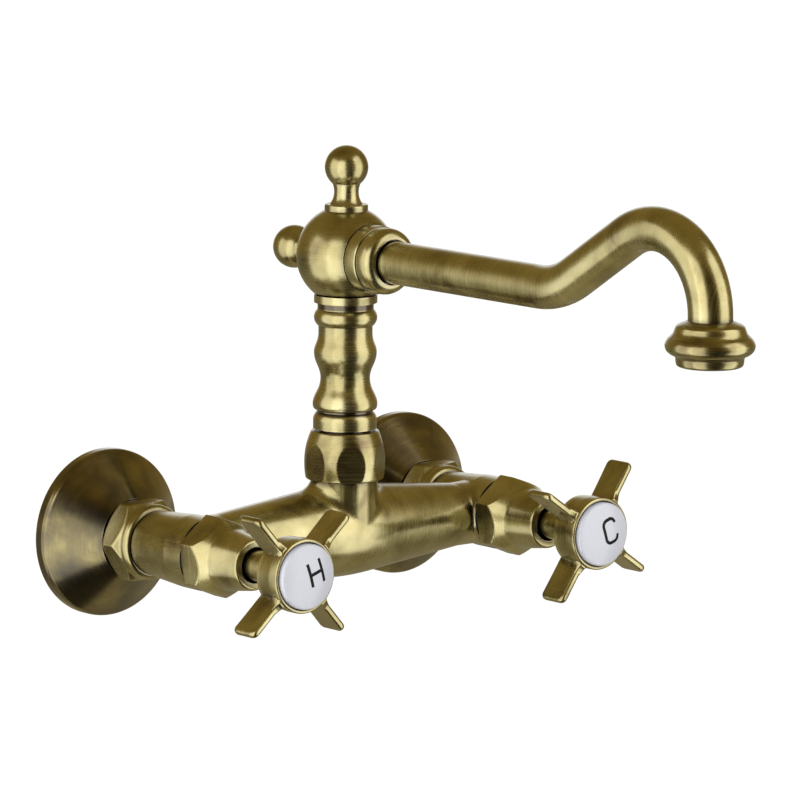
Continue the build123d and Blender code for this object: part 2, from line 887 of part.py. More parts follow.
# Ball head: flats where the column, the collar and the two finials seat, and the waterway
with BuildPart() as spout_head:
    with Locations(ball_centre):
        Sphere(ball_radius)
    block = 2 * ball_radius
    for section, seat in (
        (spout_section, collar_seat),
        (rear_section, finial_seat),
        (top_section, finial_seat),
    ):
        sleeve(section, 0, ball_radius, seat, block, mode=Mode.SUBTRACT)
    foot_seat = ball_sink - ball_radius
    sleeve(top_section, 0, ball_radius, -block, foot_seat, mode=Mode.SUBTRACT)
    for section in (rear_section, top_section):
        stud_floor = finial_seat - stud_length - face_gap
        sleeve(section, 0, stud_radius + seat_gap, stud_floor, finial_seat, mode=Mode.SUBTRACT)
    turned(
        top_section,
        (0, foot_seat),
        (tenon_radius + seat_gap, foot_seat),
        (tenon_radius + seat_gap, foot_seat + tenon_length + face_gap),
        (head_bore, foot_seat + tenon_length + face_gap),
        (head_bore, 0),
        (0, 0),
        mode=Mode.SUBTRACT,
    )
    turned(
        spout_section,
        (0, 0),
        (head_bore, 0),
        (head_bore, tube_start - face_gap),
        (collar_tenon + seat_gap, tube_start - face_gap),
        (collar_tenon + seat_gap, collar_seat),
        (0, collar_seat),
        mode=Mode.SUBTRACT,
    )
keep(spout_head, "spout_head")

for name, section, shortening in (
    ("top_finial", top_section, 0),
    ("rear_finial", rear_section, rear_finial_shortening),
):
    with BuildPart() as finial:
        base_top = finial_seat + finial_base_height
        ball_top = (0, finial_seat + finial_height - shortening)
        ball_middle = finial_seat + finial_height - shortening - finial_ball
        neck_middle = (finial_neck, finial_seat + finial_neck_height - shortening)
        ball_start = (finial_throat, ball_middle - sqrt(finial_ball**2 - finial_throat**2))
        base_edge = (finial_base, base_top)
        with BuildSketch(section) as finial_cut:
            with BuildLine():
                Polyline(
                    ball_top,
                    (0, finial_seat - stud_length),
                    (stud_radius, finial_seat - stud_length),
                    (stud_radius, finial_seat),
                    (finial_base, finial_seat),
                    base_edge,
                    (finial_shoulder, base_top),
                )
                TangentArc(neck_middle, (finial_shoulder, base_top), tangent=(0, -1))
                TangentArc(neck_middle, ball_start, tangent=(0, 1))
                ThreePointArc(ball_start, (finial_ball, ball_middle), ball_top)
            make_face()
            fillet(finial_cut.vertices().sort_by_distance(base_edge)[0], finial_base_round)
        revolve(axis=axis_of(section))
    keep(finial, name)

with BuildPart() as spout_collar:
    collar_end = collar_seat + collar_length
    groove_start = collar_seat + collar_flange_length
    groove_end = groove_start + collar_groove_length
    land = (collar_radius, groove_end + collar_land)
    tube_bore = tube_radius + seat_gap
    flange_edge = (collar_flange, groove_start)
    with BuildSketch(spout_section) as collar_cut:
        with BuildLine():
            Polyline(
                (collar_nose, collar_end),
                (collar_mouth, collar_end),
                (collar_mouth, collar_end - collar_mouth_depth),
                (tube_bore, collar_end - collar_mouth_depth),
                (tube_bore, tube_start),
                (collar_tenon, tube_start),
                (collar_tenon, collar_seat),
                (collar_flange, collar_seat),
                flange_edge,
                (collar_groove, groove_start),
                (collar_groove, groove_end),
                (collar_radius, groove_end),
                land,
            )
            TangentArc(land, (collar_nose, collar_end), tangent=(0, 1))
        make_face()
        fillet(collar_cut.vertices().sort_by_distance(flange_edge)[0], collar_flange_round)
    revolve(axis=axis_of(spout_section))
keep(spout_collar, "spout_collar")

# Spout tube: a straight run, a gentle rise, and a round crest down to the aerator
with BuildPart() as spout_tube:
    with BuildLine(spout_plane) as spout_path:
        run = Line((tube_start, 0), (tube_straight, 0))
        lift = JernArc(run @ 1, run % 1, tube_rise_radius, tube_rise_angle)
        slope = PolarLine(lift @ 1, tube_slope, tube_rise_angle)
        crest = JernArc(slope @ 1, slope % 1, tube_crest_radius, -90 - tube_rise_angle)
        Line(crest @ 1, (spout_reach, spout_drop - tube_overhang - tube_insert))
    with BuildSketch(Plane(origin=spout_path.line @ 0, z_dir=spout_path.line % 0)):
        Circle(tube_radius)
        Circle(tube_radius - tube_wall, mode=Mode.SUBTRACT)
    sweep(path=spout_path.line)
keep(spout_tube, "spout_tube")

# Aerator: a bell-shaped shell screwed round the tube's end, with its insert and washer
mouth = -aerator_height
insert_low = mouth + insert_set_in
insert_high = insert_low + insert_height
washer_high = insert_high + aerator_washer

with BuildPart() as aerator_shell:
    with BuildSketch(mouth_section) as bell:
        with BuildLine():
            shoulder = (aerator_shoulder, -aerator_shoulder_height)
            waist = (aerator_waist, -aerator_waist_height)
            Polyline(
                shoulder,
                (aerator_cap, -aerator_cap_height),
                (aerator_top, 0),
                (tube_radius + seat_gap, 0),
                (tube_radius + seat_gap, -tube_insert),
                (aerator_bore, -tube_insert),
                (aerator_bore, washer_high),
                (insert_radius + seat_gap, washer_high),
                (insert_radius + seat_gap, mouth),
                (aerator_mouth, mouth),
                (aerator_waist - aerator_ledge, -aerator_waist_height),
                waist,
            )
            Spline(
                shoulder,
                (aerator_flare, -aerator_flare_height),
                (aerator_bulge, -aerator_bulge_height),
                waist,
                tangents=((1, -5), (-3, -4)),
            )
        make_face()
        fillet(bell.vertices().sort_by_distance((aerator_mouth, mouth))[0], aerator_mouth_round)
    revolve(axis=axis_of(mouth_section))
keep(aerator_shell, "aerator_shell")

with BuildPart() as aerator_washer_ring:
    sleeve(mouth_section, aerator_bore, insert_radius, insert_high, washer_high)
keep(aerator_washer_ring, "aerator_washer")

with BuildPart() as aerator_insert:
    insert_x, insert_y, insert_z = mouth_centre
    with BuildSketch(Plane(origin=(insert_x, insert_y, insert_z + insert_low))):
        Circle(insert_radius)
        Circle(jet_radius, mode=Mode.SUBTRACT)
        for ring in range(1, jet_rings + 1):
            with PolarLocations(ring * jet_spacing, jets_in_first_ring * ring):
                Circle(jet_radius, mode=Mode.SUBTRACT)
    extrude(amount=insert_height)
keep(aerator_insert, "aerator_insert")
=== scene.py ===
import json
from math import cos, pi, radians, sin, sqrt, tan

import bmesh
import bpy
from mathutils import Matrix, Vector


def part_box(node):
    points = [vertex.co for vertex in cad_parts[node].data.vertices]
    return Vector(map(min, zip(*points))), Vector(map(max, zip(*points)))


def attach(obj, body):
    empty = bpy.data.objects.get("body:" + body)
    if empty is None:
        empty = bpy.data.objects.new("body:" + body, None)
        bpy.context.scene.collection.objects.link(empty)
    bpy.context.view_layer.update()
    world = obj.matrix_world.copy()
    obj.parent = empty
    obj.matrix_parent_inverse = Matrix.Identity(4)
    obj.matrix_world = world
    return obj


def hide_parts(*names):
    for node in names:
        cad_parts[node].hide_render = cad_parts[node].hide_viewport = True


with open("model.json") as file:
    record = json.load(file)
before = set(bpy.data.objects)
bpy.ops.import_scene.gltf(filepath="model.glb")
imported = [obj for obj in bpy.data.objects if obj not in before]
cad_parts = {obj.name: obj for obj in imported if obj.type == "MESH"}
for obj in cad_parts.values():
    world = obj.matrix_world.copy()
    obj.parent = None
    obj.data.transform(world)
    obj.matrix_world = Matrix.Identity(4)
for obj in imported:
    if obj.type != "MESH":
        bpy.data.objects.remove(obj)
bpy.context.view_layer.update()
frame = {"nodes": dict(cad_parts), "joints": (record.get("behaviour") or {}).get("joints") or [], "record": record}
scene = bpy.context.scene
scene.view_settings.view_transform = "Standard"
print("frame loaded,", len(frame["nodes"]), "nodes")

mm = 0.001
sides = {"hot": -1, "cold": 1}  # which way along x each valve lies

# where the turned pieces stand, read from the frame, in millimetres
pivots = {joint["name"]: Vector(joint["pos_m"]) / mm for joint in frame["joints"]}
collarLow, collarHigh = (Vector(corner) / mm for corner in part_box("spout_collar"))
bellLow, bellHigh = (Vector(corner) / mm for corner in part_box("aerator_shell"))
place = dict(
    valveX=pivots["cold_handle_turn"].x, valveZ=pivots["cold_handle_turn"].z,
    columnY=pivots["spout_swivel"].y, ballZ=(collarLow.z + collarHigh.z) / 2,
    bellY=(bellLow.y + bellHigh.y) / 2, bellTop=bellHigh.z,
)


def hexLinear(text):
    # a hex sRGB colour as linear red, green, blue and alpha
    parts = [int(text[i:i + 2], 16) / 255 for i in (1, 3, 5)]
    return tuple(c / 12.92 if c < 0.04045 else ((c + 0.055) / 1.055) ** 2.4 for c in parts) + (1.0,)


def setNode(tree, node, settings=None, links=None):
    # a setting is a property of the node, the stops of its colour ramp, or the value of a socket, which goes
    # by name or number; on a Mix node 0 is the share, 2 and 3 are two numbers, 6 and 7 two colours
    for key, value in (settings or {}).items():
        if key == "stops":
            bar = node.color_ramp.elements
            while len(bar) < len(value):
                bar.new(0.5)
            for element, (where, colour) in zip(bar, value):
                element.position = where
                element.color = hexLinear(colour)
        elif isinstance(key, str) and hasattr(node, key):
            setattr(node, key, value)
        else:
            node.inputs[key].default_value = value
    for key, source in (links or {}).items():
        tree.links.new(source, node.inputs[key])
    return node


def addNode(tree, kind, settings=None, links=None):
    return setNode(tree, tree.nodes.new(kind), settings, links)


def startMaterial(name):
    material = bpy.data.materials.new(name)
    material.use_nodes = True
    tree = material.node_tree
    return material, tree, tree.nodes["Principled BSDF"]


# Antique brass: turned, brushed and toned brown, then rubbed back and lacquered. It gives a satin olive
# gold with soft reflections, fine lathe lines round each piece, grooves and crevices painted browner, partly for
# toning and partly as painted shade, and edges painted bright, partly for wear and partly as painted highlight.
brassLook = dict(
    # brown, olive, gold and bright, each where it stands along the noise of clouds and brush lines
    tones=((0.30, "#5d4a20"), (0.43, "#8a804b"), (0.55, "#a09764"), (0.76, "#b9b285")),
    # patina: the dark brown of toning in hollows and of painted shade; worn: the bright brass of rubbed edges and
    # of painted highlights
    patinaAndShade="#34230b", wornAndHighlight="#cdc28c",
    # millimetres; the brush lines are drawn a little coarser than real ones, so that they show
    cloudSize=16.0, brushSpacing=0.35, brushStretch=16.0, pitSize=0.9, creviceReach=3.0, wearReach=0.7,
    bumpDepth=0.1, grooves=(), grooveFade=0.9,
    # shares: brush lines in the colour, pits in the relief, wear and painted highlight on an edge, brightness left
    # in a groove under its toning and painted shade
    streak=0.15, pitShare=0.2, edgeWearAndHighlight=0.75, grooveBrightShare=0.08,
    # spans from none to all: how far a normal leans at an edge, how open a spot is to the cloth and to light,
    # brush noise
    edgeLean=(0.995, 0.93), openToClothAndLight=(0.58, 0.95), brushSpan=(0.3, 0.7),
    roughness=(0.23, 0.31), bump=0.035, lacquer=0.8, lacquerRoughness=0.2, lacquerIor=1.75,
)
# the wall flanges get a darker, browner copy of the brass, which is painted shade
flangeShadedLook = dict(brassLook, roughness=(0.15, 0.21),
                  tones=((0.30, "#2e240e"), (0.43, "#4e441e"), (0.55, "#6c6032"), (0.76, "#9a8f56")))
# the cast body was ground and polished all over, with hardly any lines left
bodyLook = dict(brassLook, streak=0.08, bump=0.015)
# the column's two turned grooves are painted dark, partly for toning never rubbed out and partly as painted shade:
# height of the middle and half width
columnLook = dict(brassLook, grooves=((97.6, 0.8), (55.7, 0.5)))


def antiqueBrass(name, axis, look=brassLook):
    # axis is the letter of the axis that the lathe lines run round
    material, tree, shader = startMaterial(name)
    spot = addNode(tree, "ShaderNodeTexCoord").outputs["Object"]
    fine, coarse = 1 / (look["brushSpacing"] * mm), 1 / (look["brushStretch"] * mm)
    scale = [fine if letter == axis else coarse for letter in "xyz"]
    stretched = addNode(tree, "ShaderNodeMapping", {"Scale": scale}, {"Vector": spot})
    brush = addNode(tree, "ShaderNodeTexNoise", {"Scale": 1.0, "Detail": 2.0, "Roughness": 0.55},
                    {"Vector": stretched.outputs["Vector"]}).outputs["Fac"]
    clouds = addNode(tree, "ShaderNodeTexNoise",
                     {"Scale": 1 / (look["cloudSize"] * mm), "Detail": 3.0, "Roughness": 0.5,
                      "Distortion": 0.3}, {"Vector": spot}).outputs["Fac"]
    pits = addNode(tree, "ShaderNodeTexNoise", {"Scale": 1 / (look["pitSize"] * mm), "Detail": 2.0},
                   {"Vector": spot}).outputs["Fac"]
    streaked = addNode(tree, "ShaderNodeMix", {"data_type": "FLOAT", 0: look["streak"]},
                       {2: clouds, 3: brush})
    colour = addNode(tree, "ShaderNodeValToRGB", {"stops": look["tones"]}, {"Fac": streaked.outputs[0]})
    # edges are painted bright, partly for wear and partly as a painted highlight: there a rounded normal leans
    # away from the face's own
    rounded = addNode(tree, "ShaderNodeBevel", {"samples": 4, "Radius": look["wearReach"] * mm})
    face = addNode(tree, "ShaderNodeNewGeometry")
    lean = addNode(tree, "ShaderNodeVectorMath", {"operation": "DOT_PRODUCT"},
                   {0: rounded.outputs["Normal"], 1: face.outputs["Normal"]})
    flush, leaning = look["edgeLean"]
    rubbedEdgeHighlight = addNode(tree, "ShaderNodeMapRange",
                         {"From Min": flush, "From Max": leaning, "To Max": look["edgeWearAndHighlight"]},
                         {"Value": lean.outputs["Value"]})
    wornAndHighlight = addNode(tree, "ShaderNodeMix", {"data_type": "RGBA", 7: hexLinear(look["wornAndHighlight"])},
                   {0: rubbedEdgeHighlight.outputs["Result"], 6: colour.outputs["Color"]})
    # crevices and gaps between parts, found by ambient occlusion, are painted dark brown:
    # partly the toning that a rubbing cloth doesn't reach, partly painted shade
    crevice = addNode(tree, "ShaderNodeAmbientOcclusion",
                      {"samples": 8, "Distance": look["creviceReach"] * mm})
    hidden, bare = look["openToClothAndLight"]
    rubbedAndLit = addNode(tree, "ShaderNodeMapRange", {"From Min": hidden, "From Max": bare},
                     {"Value": crevice.outputs["AO"]}).outputs["Result"]
    # each of the column's grooves is painted dark: toning left in it, and painted shade
    for middle, half in look["grooves"]:
        height = addNode(tree, "ShaderNodeSeparateXYZ", links={0: spot}).outputs["Z"]
        above = addNode(tree, "ShaderNodeMath", {"operation": "SUBTRACT", 1: middle * mm}, {0: height})
        apart = addNode(tree, "ShaderNodeMath", {"operation": "ABSOLUTE"}, {0: above.outputs[0]})
        clear = addNode(tree, "ShaderNodeMapRange",
                        {"From Min": half * mm, "From Max": (half + look["grooveFade"]) * mm,
                         "To Min": look["grooveBrightShare"]}, {"Value": apart.outputs[0]})
        rubbedAndLit = addNode(tree, "ShaderNodeMath", {"operation": "MINIMUM"},
                         {0: rubbedAndLit, 1: clear.outputs["Result"]}).outputs[0]
    # crevices and grooves take the dark brown: toning, and painted shade
    tonedAndShaded = addNode(tree, "ShaderNodeMix", {"data_type": "RGBA", 6: hexLinear(look["patinaAndShade"])},
                    {0: rubbedAndLit, 7: wornAndHighlight.outputs[2]})
    low, high = look["brushSpan"]
    smooth, satin = look["roughness"]
    rough = addNode(tree, "ShaderNodeMapRange",
                    {"From Min": low, "From Max": high, "To Min": smooth, "To Max": satin}, {"Value": brush})
    relief = addNode(tree, "ShaderNodeMix", {"data_type": "FLOAT", 0: look["pitShare"]}, {2: brush, 3: pits})
    bump = addNode(tree, "ShaderNodeBump", {"Strength": look["bump"], "Distance": look["bumpDepth"] * mm},
                   {"Height": relief.outputs[0]})
    setNode(tree, shader,
            {"Metallic": 1.0, "Coat Weight": look["lacquer"], "Coat Roughness": look["lacquerRoughness"],
             "Coat IOR": look["lacquerIor"]},
            {"Base Color": tonedAndShaded.outputs[2], "Roughness": rough.outputs["Result"],
             "Normal": bump.outputs["Normal"]})
    return material


brassCast = antiqueBrass("antiqueBrassPolishedCast", "x", bodyLook)
brassBrushed = antiqueBrass("antiqueBrassBrushedDeep", "y")
brassUpright = antiqueBrass("antiqueBrassBrushedUpright", "z")
# the flanges' darker copy of the brass is painted shade
brassShaded = antiqueBrass("antiqueBrassPaintedShade", "y", flangeShadedLook)
brassGrooved = antiqueBrass("antiqueBrassTurnedGrooves", "z", columnLook)

# plain finishes: colour, gloss and relief vary a little from speckle to speckle; the speckles are drawn
# coarser than real ones, so that they show; sizes in millimetres
speckle = dict(darkAt=0.3, baseAt=0.6, noiseSpan=(0.3, 0.7), glossSpread=0.15, bumpDepth=0.1)


def speckled(name, base, dark, grain, roughness, bump=0.03, metallic=0.0, ior=1.5):
    # grain is the size of a speckle
    material, tree, shader = startMaterial(name)
    spot = addNode(tree, "ShaderNodeTexCoord").outputs["Object"]
    noise = addNode(tree, "ShaderNodeTexNoise", {"Scale": 1 / (grain * mm), "Detail": 4.0, "Roughness": 0.6},
                    {"Vector": spot}).outputs["Fac"]
    stops = ((speckle["darkAt"], dark), (speckle["baseAt"], base))
    colour = addNode(tree, "ShaderNodeValToRGB", {"stops": stops}, {"Fac": noise})
    low, high = speckle["noiseSpan"]
    rough = addNode(tree, "ShaderNodeMapRange",
                    {"From Min": low, "From Max": high, "To Min": roughness * (1 - speckle["glossSpread"]),
                     "To Max": roughness * (1 + speckle["glossSpread"])}, {"Value": noise})
    relief = addNode(tree, "ShaderNodeBump", {"Strength": bump, "Distance": speckle["bumpDepth"] * mm},
                     {"Height": noise})
    setNode(tree, shader, {"Metallic": metallic, "IOR": ior},
            {"Base Color": colour.outputs["Color"], "Roughness": rough.outputs["Result"],
             "Normal": relief.outputs["Normal"]})
    return material


# glazed porcelain: a cool white body under a clear glaze, smooth with a wet gloss
porcelain = speckled("glazedPorcelain", "#c6c8d0", "#c0c2cb", grain=0.5, roughness=0.22, bump=0.01, ior=1.52)
# fired black glaze: ink-black lines melted into the white, with hardly any gloss of their own
blackGlaze = speckled("firedBlackGlaze", "#0b0b0d", "#060607", grain=0.8, roughness=0.35, ior=1.2)
# lapped alumina: ivory ceramic ground flat, with a silky sheen
discCeramic = speckled("lappedAlumina", "#e6dfd0", "#d8d0be", grain=0.6, roughness=0.25, ior=1.75)
# moulded rubber: soft black, nearly matt
rubber = speckled("mouldedRubber", "#1c1c1d", "#121213", grain=0.5, roughness=0.6)
# pressed fibre: red-brown board, matt and flecked
fibre = speckled("pressedFibre", "#6b4131", "#4d2c21", grain=0.7, roughness=0.75, bump=0.1)
# moulded nylon: milky white with a waxy gloss
nylon = speckled("mouldedNylon", "#d9d8d2", "#c9c8c1", grain=1.2, roughness=0.42)
# bright steel: drawn and tumbled spring wire, light grey with a clear shine
springSteel = speckled("brightSteel", "#b4b3af", "#9a9994", grain=0.6, roughness=0.28, metallic=1.0)

slotFinish = {
    "antique_brass": brassBrushed, "porcelain": porcelain, "disc_ceramic": discCeramic, "rubber": rubber,
    "fibre": fibre, "nylon": nylon, "spring_steel": springSteel,
}
ownFinish = {
    "mixer_body": brassCast, "spout_column": brassGrooved, "spout_head": brassUpright,
    # the wall flanges take the darker copy, painted shade
    "top_finial": brassUpright, "wall_flange_hot": brassShaded, "wall_flange_cold": brassShaded,
}
for part in frame["record"]["subparts"]:
    mesh = frame["nodes"][part["node"]].data
    mesh.materials.clear()
    mesh.materials.append(ownFinish.get(part["node"], slotFinish[part["material_slot"]]))
print("finishes ready")

meshing = dict(weld=0.002, sharpAngle=35.0)  # millimetres and degrees


def roundedLine(corners, arcSteps=7):
    # corner points (across, along, rounding) in millimetres; each rounded corner becomes an arc
    points = []
    for number, (across, along, rounding) in enumerate(corners):
        here = Vector((across, along))
        if not rounding:
            points.append(here)
            continue
        before = (Vector(corners[number - 1][:2]) - here).normalized()
        after = (Vector(corners[(number + 1) % len(corners)][:2]) - here).normalized()
        half = before.angle(after) / 2
        centre = here + (before + after).normalized() * (rounding / sin(half))
        start = here + before * (rounding / tan(half)) - centre
        end = here + after * (rounding / tan(half)) - centre
        for step in range(arcSteps + 1):
            points.append(centre + start.slerp(end, step / arcSteps).normalized() * rounding)
    return points


def smoothLine(stations, steps):
    # a curve through every station, tangent to the line between its neighbours
    stations = [Vector(s) for s in stations]
    points = []
    for k in range(len(stations) - 1):
        a, b = stations[k], stations[k + 1]
        before, after = stations[max(k - 1, 0)], stations[min(k + 2, len(stations) - 1)]
        for step in range(steps):
            t = step / steps
            points.append(a * (2 * t ** 3 - 3 * t * t + 1) + b * (3 * t * t - 2 * t ** 3)
                          + (b - before) * (t ** 3 - 2 * t * t + t) / 2 + (after - a) * (t ** 3 - t * t) / 2)
    return points + [stations[-1]]


def bandFaces(a, b, count):
    # the faces between two closed rings of points, whose first points are a and b
    return [(a + k, a + (k + 1) % count, b + (k + 1) % count, b + k) for k in range(count)]


def turnedPoints(line, centre, axis, segments):
    # a closed outline (radius, along the axis) spun about the axis; returns points and faces
    axis = Vector(axis)
    across = axis.orthogonal().normalized()
    beside = axis.cross(across)
    points, faces = [], []
    count = len(line)
    for step in range(segments):
        angle = 2 * pi * step / segments
        spoke = across * cos(angle) + beside * sin(angle)
        points += [Vector(centre) + spoke * r + axis * h for r, h in line]
        faces += bandFaces(step * count, (step + 1) % segments * count, count)
    return points, faces


def meshPiece(name, points, faces, material):
    # points in millimetres; the finished object stands at the origin
    mesh = bpy.data.meshes.new(name)
    mesh.from_pydata([Vector(p) * mm for p in points], [], faces)
    build = bmesh.new()
    build.from_mesh(mesh)
    bmesh.ops.remove_doubles(build, verts=build.verts, dist=meshing["weld"] * mm)
    bmesh.ops.recalc_face_normals(build, faces=build.faces)
    build.to_mesh(mesh)
    build.free()
    mesh.shade_smooth()
    mesh.set_sharp_from_angle(angle=radians(meshing["sharpAngle"]))
    mesh.materials.append(material)
    piece = bpy.data.objects.new(name, mesh)
    scene.collection.objects.link(piece)
    return piece


def applyModifiers(piece):
    # the modifiers' result becomes the piece's own plain mesh
    done = bpy.data.meshes.new_from_object(piece.evaluated_get(bpy.context.evaluated_depsgraph_get()))
    piece.modifiers.clear()
    piece.data = done
    done.name = piece.name
    done.shade_smooth()
    return done


# aerator bell: a low conical cap, a flared shoulder, a fat bulge and a narrow lip, turned in one piece
aerator = dict(
    centre=(0.0, place["bellY"], place["bellTop"]), segments=144, steps=5,
    # radius and height: the outside from the tube's seat down to the mouth, then up the bore
    outside=((8.45, 0.0), (9.9, -0.55), (11.4, -1.15), (12.6, -1.9), (13.1, -3.0), (13.5, -4.1), (14.2, -5.2),
             (15.5, -6.4), (16.4, -7.8), (16.7, -9.2), (16.3, -10.8), (15.0, -12.2), (13.4, -13.0),
             (12.75, -13.8), (12.6, -15.3), (12.2, -16.5), (11.3, -17.0)),
    inside=((9.0, -17.0), (9.0, -10.0), (6.8, -10.0), (6.8, -5.0), (8.45, -5.0)),
)
bellLine = smoothLine(aerator["outside"], aerator["steps"]) + [Vector(p) for p in aerator["inside"]]
points, faces = turnedPoints(bellLine, aerator["centre"], (0, 0, 1), aerator["segments"])
aeratorBell = meshPiece("aeratorBell", points, faces, brassUpright)
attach(aeratorBell, "spout")
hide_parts("aerator_shell")
print("aerator bell ready")

# index rings and buttons: a beaded brass rim with a feathered skirt over the hub, round a domed white
# porcelain button with one fired letter
ring = dict(
    segments=144,
    # radius, reach from the wall, rounding
    corners=((13.6, 120.8, 0), (13.9, 120.7, 0), (13.9, 113.0, 0), (14.4, 120.5, 9.0), (14.4, 125.1, 0.75),
             (12.75, 125.1, 0.6), (12.75, 123.9, 0), (13.6, 123.9, 0)),
)
button = dict(radius=12.6, back=122.6, foot=126.9, dome=2.1, edge=1.0, segments=144, domeSteps=14)
letters = dict(
    stroke=1.3, lift=0.05, sink=0.15, spacing=0.25, tilt=17.0,  # millimetres and degrees
    hot=dict(middle=(2.2, 1.7), tall=9.4, wide=6.0),
    cold=dict(middle=(2.0, 1.5), tall=9.4, wide=6.2, corner=2.3),
)


def domeReach(x, z):
    # how far the button's face stands from the wall, at x and z from its middle
    return button["foot"] + button["dome"] * (1 - (x * x + z * z) / button["radius"] ** 2)


def buttonLine():
    rim, back = button["radius"], button["back"]
    steps = [rim * k / button["domeSteps"] for k in range(button["domeSteps"])]
    crown = [(r, domeReach(r, 0), 0) for r in steps]
    return roundedLine(crown + [(rim, button["foot"], button["edge"]), (rim, back, 0), (0, back, 0)])


def letterStrokes(kind):
    size = letters[kind]
    half, right = size["tall"] / 2, size["wide"] / 2
    if kind == "hot":
        inner = right - letters["stroke"] / 2
        return [[(-right, half), (-right, -half)], [(right, half), (right, -half)], [(-inner, 0), (inner, 0)]]
    bend = size["corner"]
    return [roundedLine(((right, half - bend, 0), (right, half, bend), (-right, half, bend),
                         (-right, -half, bend), (right, -half, bend), (right, -half + bend, 0)))]


def letterPoints(kind, sign):
    # each stroke is a thin bar laid over the dome, cut into short lengths so that it follows the curve
    points, faces = [], []
    middle, turn = Vector(letters[kind]["middle"]), Matrix.Rotation(radians(letters["tilt"]), 2)
    top, under = letters["lift"], -letters["sink"]
    # round the bar's section: over the top from left to right, then back underneath
    section = ((-1, top), (0, top), (1, top), (1, under), (0, under), (-1, under))
    count = len(section)
    for stroke in letterStrokes(kind):
        path = []
        for a, b in zip(stroke, stroke[1:]):
            a, b = Vector(a), Vector(b)
            cuts = max(1, round((b - a).length / letters["spacing"]))
            path += [a.lerp(b, k / cuts) for k in range(cuts)]
        path.append(Vector(stroke[-1]))
        first = len(points)
        for k, here in enumerate(path):
            way = (path[min(k + 1, len(path) - 1)] - path[max(k - 1, 0)]).normalized()
            side = Vector((-way.y, way.x)) * letters["stroke"] / 2
            for share, height in section:
                x, z = middle + turn @ (here + side * share)
                points.append((sign * place["valveX"] + x, -domeReach(x, z) - height, place["valveZ"] + z))
        last = len(points) - count
        for a in range(first, last, count):
            faces += bandFaces(a, a + count, count)
        for end in (first, last):
            faces += [(end, end + 1, end + 4, end + 5), (end + 1, end + 2, end + 3, end + 4)]
    return points, faces


for side, sign in sides.items():
    centre = (sign * place["valveX"], 0, place["valveZ"])
    points, faces = turnedPoints(roundedLine(ring["corners"]), centre, (0, -1, 0), ring["segments"])
    indexRing = meshPiece(side + "IndexRing", points, faces, brassBrushed)
    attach(indexRing, side + "_handle")
    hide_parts("index_ring_" + side)
    points, faces = turnedPoints(buttonLine(), centre, (0, -1, 0), button["segments"])
    indexButton = meshPiece(side + "IndexButton", points, faces, porcelain)
    letter = meshPiece(side + "Letter", *letterPoints(side, sign), blackGlaze)
    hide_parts("index_button_" + side)
    for piece in (indexButton, letter):
        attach(piece, side + "_handle")
print("index rings, buttons and letters ready")

# cross handles: the cast crosses with the blades' roots flared into the hub and every edge rubbed round
handle = dict(
    blades=4, firstBlade=dict(hot=42.0, cold=55.6), bladeHalf=1.42, rootHalf=4.6, flareSteps=8,
    # stations along the hub: reach from the wall, radius that the web stands on, radius where it runs out,
    # and its share of the full flare
    stations=((111.6, 10.6, 18.0, 0.05), (113.2, 12.2, 18.0, 0.45), (115.2, 13.2, 18.0, 0.85),
              (117.5, 13.4, 18.0, 1.0), (120.45, 13.4, 18.0, 1.0)),
    ringStations=((120.2, 14.2, 18.0, 1.0), (122.2, 14.2, 18.2, 0.95), (123.2, 14.2, 18.4, 0.8),
                  (123.7, 14.2, 16.9, 0.7), (124.2, 14.2, 15.6, 0.55), (124.7, 14.2, 14.8, 0.35)),
)
rubbing = dict(voxel=0.32, rubs=7, strength=0.5)  # millimetres, passes of smoothing and how far each goes


def flarePoints(side, sign):
    # a web at the root of each blade, hollow on both flanks, running from the hub and ring into the blade
    points, faces = [], []
    blade, steps = handle["bladeHalf"], handle["flareSteps"]
    for number in range(handle["blades"]):
        angle = radians(handle["firstBlade"][side] + number * 360 / handle["blades"])
        for stations in (handle["stations"], handle["ringStations"]):
            first = len(points)
            for reach, inside, outEnd, share in stations:
                half = blade + (handle["rootHalf"] - blade) * share
                foot = sqrt(inside ** 2 - half ** 2)
                flank = []
                for step in range(steps + 1):
                    bend = pi / 2 * step / steps
                    flank.append((foot + (outEnd - foot) * (1 - cos(bend)),
                                  blade + (half - blade) * (1 - sin(bend))))
                base = [(sqrt(inside ** 2 - y * y), y) for y in (-half / 2, 0, half / 2)]
                outline = flank + [(x, -y) for x, y in reversed(flank)] + base
                points += [(sign * place["valveX"] + x * cos(angle) - y * sin(angle), -reach,
                            place["valveZ"] + x * sin(angle) + y * cos(angle)) for x, y in outline]
            count = len(outline)
            last = len(points) - count
            faces += [tuple(range(first, first + count)), tuple(range(last, last + count))]
            for a in range(first, last, count):
                faces += bandFaces(a, a + count, count)
    return points, faces


def rubbedCopy(name, node, extra, material):
    # the node's own shape and any extra points and faces melted into one skin, then smoothed
    piece = meshPiece(name, *extra, material)
    build = bmesh.new()
    build.from_mesh(piece.data)
    cast = bmesh.new()
    cast.from_mesh(frame["nodes"][node].data)
    bmesh.ops.remove_doubles(cast, verts=cast.verts, dist=meshing["weld"] * mm)
    copy = bpy.data.meshes.new("cast")
    cast.to_mesh(copy)
    cast.free()
    build.from_mesh(copy)
    build.to_mesh(piece.data)
    build.free()
    melt = piece.modifiers.new("melt", "REMESH")
    melt.mode = "VOXEL"
    melt.voxel_size = rubbing["voxel"] * mm
    rub = piece.modifiers.new("rub", "SMOOTH")
    rub.factor, rub.iterations = rubbing["strength"], rubbing["rubs"]
    done = applyModifiers(piece)
    done.materials.clear()
    done.materials.append(material)
    return piece


for side, sign in sides.items():
    webs = flarePoints(side, sign)
    crossHandle = rubbedCopy(side + "CrossHandle", "cross_handle_" + side, webs, brassBrushed)
    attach(crossHandle, side + "_handle")
    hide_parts("cross_handle_" + side)
print("cross handles ready,", len(crossHandle.data.polygons), "faces on the last")

